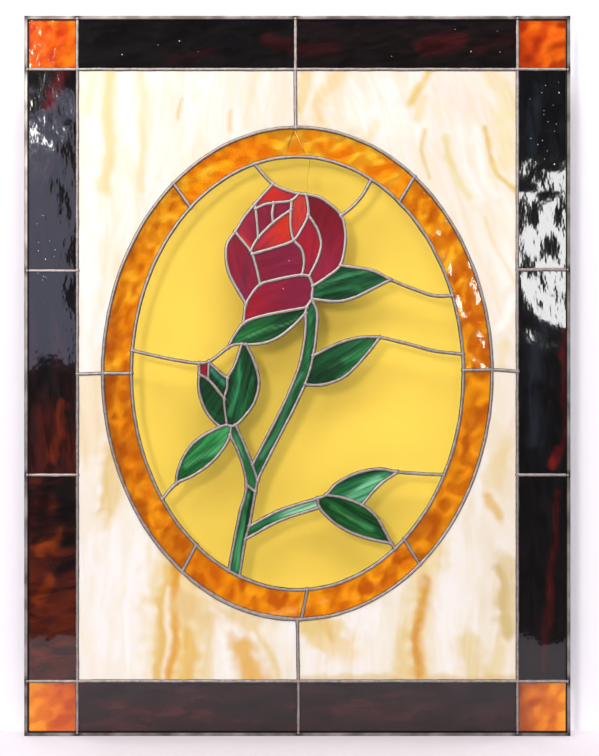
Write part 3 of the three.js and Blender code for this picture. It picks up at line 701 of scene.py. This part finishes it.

# bubbles in the glass, whose white specks are painted glints: pane, glass, how many, and the low and high
# corner of where they lie in millimetres

bubbleFields = [
    ("border_right_upper", "dark", 18, (236, 585), (268, 672)),
    ("border_left_upper", "dark", 9, (-268, 484), (-242, 534)),
    ("border_left_middle", "dark", 5, (-268, 440), (-240, 474)),
    ("border_head_left", "dark", 4, (-215, 692), (-20, 725)),
    ("border_head_right", "dark", 5, (10, 692), (215, 725)),
    ("petal_base", "red", 1, (-15, 456), (-13, 458)),
    ("petal_centre", "red", 1, (-9, 486), (-7, 487)),
]
bubble = {
    "small": 0.3 * mm,
    "big": 0.65 * mm,
    "fewBig": 3,                  # the higher, the fewer are big
    "proud": 0.25 * mm,
    "tall": 0.5,
    # near white: a painted glint
    "colour": "#eceaee",
    "rough": 0.3,
}

# bubbles painted near white as glints, for thin skins of glass over air that flash under the lamps
bubbleGlintMaterial = newMaterial("bubble_painted_glint", {
    "Base Color": linear(bubble["colour"]), "Roughness": bubble["rough"], "IOR": glassIor})[0]

chance = random.Random(11)
for pane, glass, amount, low, high in bubbleFields:
    bm = bmesh.new()
    for k in range(amount):
        size = bubble["small"] + (bubble["big"] - bubble["small"]) * chance.random() ** bubble["fewBig"]
        made = bmesh.ops.create_icosphere(bm, subdivisions=2, radius=size)["verts"]
        x, z = chance.uniform(low[0], high[0]) * mm, chance.uniform(low[1], high[1]) * mm
        for vert in made:
            vert.co.y *= bubble["tall"]
            vert.co += Vector((x, -paneShape["thickness"] / 2 - bubble["proud"] / 2, z))
    shadeSmooth(bm)
    newPiece("bubbles_" + pane, bm, bubbleGlintMaterial, glassKinds[glass]["slot"])
report("bubbles")

# solder beads along every seam, front and back, and a blob on every joint

solder = {
    "radius": 1.8 * mm,
    # a thicker stretch of the outer oval's seam, within reach of this line
    "heavy": {"width": 60, "extra": 0.35, "line": [(-186, 190), (-130, 136), (-20, 118)]},
    "oval": {"middle": 371 * mm, "across": 199.2 * mm, "up": 251.6 * mm, "near": 0.01},
    "swell": 0.14,                # how much a bead swells and thins along its length
    "swellScale": 11 * mm,
    "swellSeed": 5,
    "crown": 2.72 * mm,           # height of its crown from the middle of the glass
    "glass": 1.5 * mm,            # and of the face of the glass
    "round": 1.15 * mm,           # above this height a swollen bead turns flatter
    "flatter": 0.15,
    "blob": (2.1 * mm, 3.0 * mm),
    "blobScale": 7 * mm,
    "blobSeed": 3,
    "blobCrown": 2.93 * mm,
    "blobRoom": 1.2,              # a blob keeps this many radii inside the edge
    "lump": 0.18,
    "lumpScale": 2.4 * mm,
}
solderFace = {
    # foot: the flanks, dark with patina and painted shade; crown: a painted highlight
    "foot": "#241d1b",
    "crown": "#a89d99",
    "stops": (0.5, 1.0),
    "metallic": 0.8,
    "rough": 0.4,
    "stainScale": 4 * mm,
    "sheenFalloff": 2.0,
    "stain": 0.75,
    "stainAndSheen": 0.72,
    "rose": (-8 * mm, 0, 490 * mm),
    "polish": {"From Min": 70 * mm, "From Max": 110 * mm, "To Min": 0.09, "To Max": -0.03},
    "pitScale": 2.5 * mm,
    "pits": {"Strength": 0.5, "Distance": 0.25 * mm},
}

# old solder: silver grey metal with patina stains, its colour lighter where it faces straight out of the
# panel, a painted highlight along its crown and painted shade on its flanks
solderMaterial, tree, shader = newMaterial("solder_patina_and_painted_sheen", {
    "Metallic": solderFace["metallic"], "Roughness": solderFace["rough"]})
place = addNode(tree, "ShaderNodeTexCoord")
way = addNode(tree, "ShaderNodeSeparateXYZ", None, {"Vector": place.outputs["Normal"]})
facing = addNode(tree, "ShaderNodeMath", None, {0: way.outputs["Y"]}, operation="ABSOLUTE")
stain = addNode(tree, "ShaderNodeTexNoise", {"Scale": 1 / solderFace["stainScale"], "Detail": 4.0},
                {"Vector": place.outputs["Object"]})
# the more a face points out of the panel, the lighter its colour: painted highlight and shade
sheenFalloff = addNode(tree, "ShaderNodeMath", {1: solderFace["sheenFalloff"]}, {0: facing.outputs["Value"]},
                operation="POWER")
stainAndSheen = addNode(tree, "ShaderNodeMath", {1: solderFace["stain"]},
                 {0: stain.outputs["Fac"], 2: sheenFalloff.outputs["Value"]}, operation="MULTIPLY_ADD")
stainAndSheen = addNode(tree, "ShaderNodeMath", {1: solderFace["stainAndSheen"]}, {0: stainAndSheen.outputs["Value"]},
                 operation="MULTIPLY")
# it is brightest round the rose and more stained further out
spread = addNode(tree, "ShaderNodeVectorMath", {1: solderFace["rose"]}, {0: place.outputs["Object"]},
                 operation="DISTANCE")
polish = addNode(tree, "ShaderNodeMapRange", solderFace["polish"], {"Value": spread.outputs["Value"]})
stainAndSheen = addNode(tree, "ShaderNodeMath", None, {0: stainAndSheen.outputs["Value"], 1: polish.outputs["Result"]},
                 operation="ADD")
ramp = addNode(tree, "ShaderNodeValToRGB", None, {"Fac": stainAndSheen.outputs["Value"]})
for stop, at, name in zip(ramp.color_ramp.elements, solderFace["stops"], ("foot", "crown")):
    stop.position, stop.color = at, linear(solderFace[name])
tree.links.new(ramp.outputs["Color"], shader.inputs["Base Color"])
pits = addNode(tree, "ShaderNodeTexNoise", {"Scale": 1 / solderFace["pitScale"], "Detail": 3.0},
               {"Vector": place.outputs["Object"]})
bump = addNode(tree, "ShaderNodeBump", solderFace["pits"], {"Height": pits.outputs["Fac"]})
tree.links.new(bump.outputs["Normal"], shader.inputs["Normal"])

# runs of seam that carry straight on through their joints
runs, used = [], set()


def follow(a, b):
    run = [a, b]
    while (run[-1], run[-2]) in partner and frozenset(run[-2:]) not in used:
        used.add(frozenset(run[-2:]))
        run.append(partner[run[-1], run[-2]])
        if run[-1] == run[0] and len(run) > 3:
            break
    used.add(frozenset(run[-2:]))
    return run


# first the runs that start at a joint, then the closed rings that are left
for fromJoint in (True, False):
    for a in sorted(links):
        for b in sorted(links[a]):
            if onRim(a, b) or frozenset((a, b)) in used or (fromJoint and (a, b) in partner):
                continue
            runs.append(follow(a, b))
report(f"{len(runs)} runs of solder")


def heavySeam(point):
    heavy, oval = solder["heavy"], solder["oval"]
    out = math.hypot(point.x / oval["across"], (point.z - oval["middle"]) / oval["up"])
    if abs(out - 1) > oval["near"]:
        return 0
    return strokeAmount(point, heavy["width"], heavy["extra"], [pointAt(x, z) for x, z in heavy["line"]])


def beadMesh(side):
    # round rods of solder along the runs, with open ends
    curve = bpy.data.curves.new("beads", "CURVE")
    curve.dimensions = "3D"
    curve.bevel_depth = solder["radius"]
    curve.bevel_resolution = 2
    for run in runs:
        closed = run[0] == run[-1]
        points = [p for a, b in zip(run, run[1:]) for p in seamPath(a, b)]
        if not closed:
            points.append(wander(spots[run[-1]]))
        spline = curve.splines.new("POLY")
        spline.points.add(len(points) - 1)
        spline.use_cyclic_u = closed
        for i, p in enumerate(points):
            swell = noise.noise(p / solder["swellScale"] + Vector((0, side * solder["swellSeed"], 0)))
            spline.points[i].co = (p.x, 0, p.z, 1)
            spline.points[i].radius = 1 + solder["swell"] * swell + heavySeam(p)
    holder = bpy.data.objects.new("beads", curve)
    scene.collection.objects.link(holder)
    mesh = bpy.data.meshes.new_from_object(holder.evaluated_get(bpy.context.evaluated_depsgraph_get()))
    bpy.data.objects.remove(holder)
    return mesh


def addBlob(bm, spot, side):
    small, big = solder["blob"]
    mood = noise.noise(spot / solder["blobScale"] + Vector((0, side * solder["blobSeed"], 0)))
    size = small + (big - small) * (0.5 + 0.5 * mood)
    made = bmesh.ops.create_icosphere(bm, subdivisions=2, radius=size)["verts"]
    centre = wander(spot)
    reach = size * solder["blobRoom"]
    centre.x = clamp(centre.x, cadBox[0].x + reach, cadBox[1].x - reach)
    centre.z = clamp(centre.z, cadBox[0].z + reach, cadBox[1].z - reach)
    for vert in made:
        lump = 1 + solder["lump"] * noise.noise((vert.co + centre) / solder["lumpScale"])
        vert.co = Vector((vert.co.x * lump, vert.co.y / size * (solder["blobCrown"] - solder["glass"]),
                          vert.co.z * lump)) + centre
        vert.co.y += side * solder["glass"]


def solderBeads(side):
    mesh = beadMesh(side)
    bm = bmesh.new()
    for i, around in links.items():
        inner = [b for b in around if not onRim(i, b)]
        if len(inner) > 2 or (rimSides(spots[i]) and len(around) > 2):
            addBlob(bm, spots[i], side)
    blobs = set(bm.verts)
    bm.from_mesh(mesh)
    bpy.data.meshes.remove(mesh)
    bmesh.ops.holes_fill(bm, edges=[e for e in bm.edges if e.is_boundary])
    flat = (solder["crown"] - solder["glass"]) / solder["radius"]
    for vert in bm.verts:
        if vert not in blobs:
            rise = abs(vert.co.y) * flat
            rise = min(rise, solder["round"] + solder["flatter"] * (rise - solder["round"]))
            vert.co.y = math.copysign(rise, vert.co.y) + side * solder["glass"]
    shadeSmooth(bm)
    return bm


for sideName, side in (("front", -1), ("back", 1)):
    newPiece("solder_" + sideName, solderBeads(side), solderMaterial, "solder", "solder_matrix")
report("solder")

# the edge channel

came = {
    "cut": 3.5 * mm,
    "nearCut": 0.05 * mm,
    "nearFaceCut": 0.02 * mm,
    "flat": math.radians(1),      # faces that turn less than this are made one
    "sharp": math.radians(40),
    "dent": 0.07 * mm,
    "dentScale": 12 * mm,
    "inward": 0.3 * mm,
    "outside": 1 * mm,            # what lies this near the box is the channel's outer wall
    "face": 4.0 * mm,
    "lipWidth": 1 * mm,
    "puttyWidth": 0.5 * mm,
    "metal": "#a39d9a",
    "putty": "#1c1716",
    "joint": "#3a3330",
    "jointReach": 5.5 * mm,
    "jointDark": 1.3,
    "stain": ("#a39d9a", "#ffffff"),
    "stainStops": (0.35, 0.65),
    "stainScale": 25 * mm,
    "metallic": 0.9,
    "rough": 0.42,
}

# lead grey metal came, a little dented, with a dull shine
cameMaterial, tree, shader = newMaterial("dull_metal_came", {
    "Metallic": came["metallic"], "Roughness": came["rough"]})
place = addNode(tree, "ShaderNodeTexCoord")
stain = addNode(tree, "ShaderNodeTexNoise", {"Scale": 1 / came["stainScale"], "Detail": 5.0},
                {"Vector": place.outputs["Object"]})
ramp = addNode(tree, "ShaderNodeValToRGB", None, {"Fac": stain.outputs["Fac"]})
for stop, at, colour in zip(ramp.color_ramp.elements, came["stainStops"], came["stain"]):
    stop.position, stop.color = at, linear(colour)
tint = addNode(tree, "ShaderNodeAttribute", attribute_name="tint")
stained = addNode(tree, "ShaderNodeVectorMath", None, {0: tint.outputs["Color"], 1: ramp.outputs["Color"]},
                  operation="MULTIPLY")
tree.links.new(stained.outputs["Vector"], shader.inputs["Base Color"])

bm = bmesh.new()
bm.from_mesh(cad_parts["perimeter_came"].data)
bmesh.ops.remove_doubles(bm, verts=bm.verts, dist=sameVertex)
bmesh.ops.dissolve_limit(bm, angle_limit=came["flat"], verts=bm.verts, edges=bm.edges)
low, high = cadBox
# cuts along the face, so that the putty line by the glass can be darker than the metal
for corner, away in ((low, 1), (high, -1)):
    for axis in (0, 2):
        for reach in (came["face"], came["face"] - came["lipWidth"]):
            cutAcross(bm, axis, corner[axis] + away * reach, came["nearFaceCut"])
for axis in (0, 2):
    cut = low[axis] + came["cut"]
    while cut < high[axis]:
        cutAcross(bm, axis, cut, came["nearCut"])
        cut += came["cut"]
tint = bm.verts.layers.float_color.new("tint")
rimJoints = [spots[i] for i in links if rimSides(spots[i])]
for vert in bm.verts:
    edgeGap = min(vert.co.x - low.x, high.x - vert.co.x, vert.co.z - low.z, high.z - vert.co.z)
    # flux and patina have darkened the metal round the soldered joints
    nearest = min((vert.co * onPlane - spot).length for spot in rimJoints)
    joint = clamp(came["jointDark"] - nearest / came["jointReach"])
    metal = mix(linear(came["metal"]), linear(came["joint"]), joint)
    vert[tint] = linear(came["putty"]) if edgeGap > came["face"] - came["puttyWidth"] else metal
    drift = noise.noise_vector(vert.co / came["dentScale"])
    vert.co.y -= math.copysign(came["inward"] + came["dent"] * drift.y, vert.co.y)
    for axis in (0, 2):
        for corner, away in ((low, 1), (high, -1)):
            if abs(vert.co[axis] - corner[axis]) < came["outside"]:
                vert.co[axis] += away * (came["dent"] * (1 + drift[axis]))
shadeSmooth(bm)
for edge in bm.edges:
    edge.smooth = edge.calc_face_angle(0) < came["sharp"]
newPiece("edge_channel", bm, cameMaterial, "came", "perimeter_came")
report("edge channel")

# floor, wall, lights and camera, in metres

stage = {
    "wallBehind": 28 * mm,
    "wall": "#f0eef4",
    "wide": 8,
    "tall": 6,
    "floor": "#d8d2d8",
    "floorReach": 0.75,
    "rough": 0.9,
    "sky": "#ffffff",
    "skySeen": 0.9,
    "skyLight": 0.12,
}


def oneSidedPaint(name, colour):
    # matt paint that is seen from its front alone, so that the stage never hides the window's back
    material, tree, shader = newMaterial(name, {"Base Color": linear(colour), "Roughness": stage["rough"]})
    side = addNode(tree, "ShaderNodeNewGeometry")
    clear = addNode(tree, "ShaderNodeBsdfTransparent")
    paint = addNode(tree, "ShaderNodeMixShader", None, {
        0: side.outputs["Backfacing"], 1: shader.outputs["BSDF"], 2: clear.outputs["BSDF"]})
    tree.links.new(paint.outputs["Shader"], tree.nodes["Material Output"].inputs["Surface"])
    return material


def stagePlane(name, material, width, depth, place, upright):
    bm = bmesh.new()
    bmesh.ops.create_grid(bm, x_segments=1, y_segments=1, size=0.5)
    for vert in bm.verts:
        x, y = vert.co.x * width, vert.co.y * depth
        vert.co = Vector(place) + (Vector((x, 0, y)) if upright else Vector((x, y, 0)))
    bm.normal_update()
    plane = newObject(name, bm, material)
    plane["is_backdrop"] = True
    return plane


wallY, reach = stage["wallBehind"], stage["floorReach"]
wall = stagePlane("wall", oneSidedPaint("matt_wall_paint", stage["wall"]), stage["wide"], stage["tall"],
                  (0, wallY, stage["tall"] / 2), True)
wall.visible_shadow = False       # the lamps behind light the back of the window
wall.visible_glossy = False
stagePlane("floor", oneSidedPaint("matt_floor_paint", stage["floor"]), stage["wide"], reach + wallY,
           (0, (wallY - reach) / 2, 0), False)

lamps = {
    "key": {"place": (-1.0, -2.8, 1.17), "aim": (0, 0, 0.37), "size": (0.55, 0.55), "power": 30,
            "colour": "#fff8f0"},
    "top": {"place": (0, -0.95, 1.8), "aim": (0, 0, 0.55), "size": (2.6, 0.8), "power": 32,
            "colour": "#fffdfc"},
    "left": {"place": (-2.2, -1.6, 1.5), "aim": (0, 0, 0.5), "size": (1.2, 1.4), "power": 19.5,
             "colour": "#fbfaff"},
    "right": {"place": (2.2, -1.6, 1.5), "aim": (0, 0, 0.5), "size": (1.2, 1.4), "power": 19.5,
              "colour": "#fbfaff"},
    # pale cards and a small lamp that the wavy glass mirrors
    "card": {"place": (0.53, -1.98, 0.63), "aim": (0.25, 0, 0.5), "size": (0.1, 0.28), "power": 1.7},
    "cardLeft": {"place": (-0.7, -2.0, 0.67), "aim": (-0.25, 0, 0.5), "size": (0.5, 0.54), "power": 2.1,
                 "colour": "#ccceee"},
    "glintLeft": {"place": (-0.53, -1.96, 0.86), "aim": (-0.26, 0, 0.61), "size": (0.02, 0.05),
                  "power": 0.15},
    "behindLeft": {"place": (-1.6, 2.2, 1.5), "aim": (0, 0, 0.37), "size": (1.4, 1.2), "power": 24},
    "behindRight": {"place": (1.8, 2.0, 0.9), "aim": (0, 0, 0.37), "size": (1.4, 1.2), "power": 20},
}

for name, lamp in lamps.items():
    data = bpy.data.lights.new(name, "AREA")
    data.shape = "RECTANGLE"
    data.size, data.size_y = lamp["size"]
    data.energy = lamp["power"]
    data.color = linear(lamp.get("colour", "#ffffff"))[:3]
    light = bpy.data.objects.new(name, data)
    light.location = lamp["place"]
    light.rotation_euler = (Vector(lamp["aim"]) - light.location).to_track_quat("-Z", "Y").to_euler()
    scene.collection.objects.link(light)

# a studio that looks bright to the eye and through clear glass, and lights and mirrors little
world = bpy.data.worlds.new("studio")
scene.world = world
world.use_nodes = True
tree = world.node_tree
ray = addNode(tree, "ShaderNodeLightPath")
dim = addNode(tree, "ShaderNodeMath", None, {
    0: ray.outputs["Is Glossy Ray"], 1: ray.outputs["Is Transmission Ray"]}, operation="SUBTRACT")
dim = addNode(tree, "ShaderNodeMath", None, {0: dim.outputs["Value"], 1: ray.outputs["Is Diffuse Ray"]},
              operation="MAXIMUM")
strength = addNode(tree, "ShaderNodeMapRange", {"To Min": stage["skySeen"], "To Max": stage["skyLight"]},
                   {"Value": dim.outputs["Value"]})
tree.links.new(strength.outputs["Result"], tree.nodes["Background"].inputs["Strength"])
tree.nodes["Background"].inputs["Color"].default_value = linear(stage["sky"])

camera = {"place": (2.2 * mm, -2.0, 0.3662), "tilt": math.radians(90), "lens": 93, "sensor": 36}
view = bpy.data.cameras.new("camera")
view.lens = camera["lens"]
view.sensor_width = camera["sensor"]
eye = bpy.data.objects.new("camera", view)
eye.location = camera["place"]
eye.rotation_euler = (camera["tilt"], 0, 0)
scene.collection.objects.link(eye)
scene.camera = eye
scene.view_settings.view_transform = "Standard"
report("stage, lights and camera")

triangles = {o.name: sum(len(p.vertices) - 2 for p in o.data.polygons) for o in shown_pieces()}
print("triangles", sum(triangles.values()), "largest", max(triangles.items(), key=lambda t: t[1]))
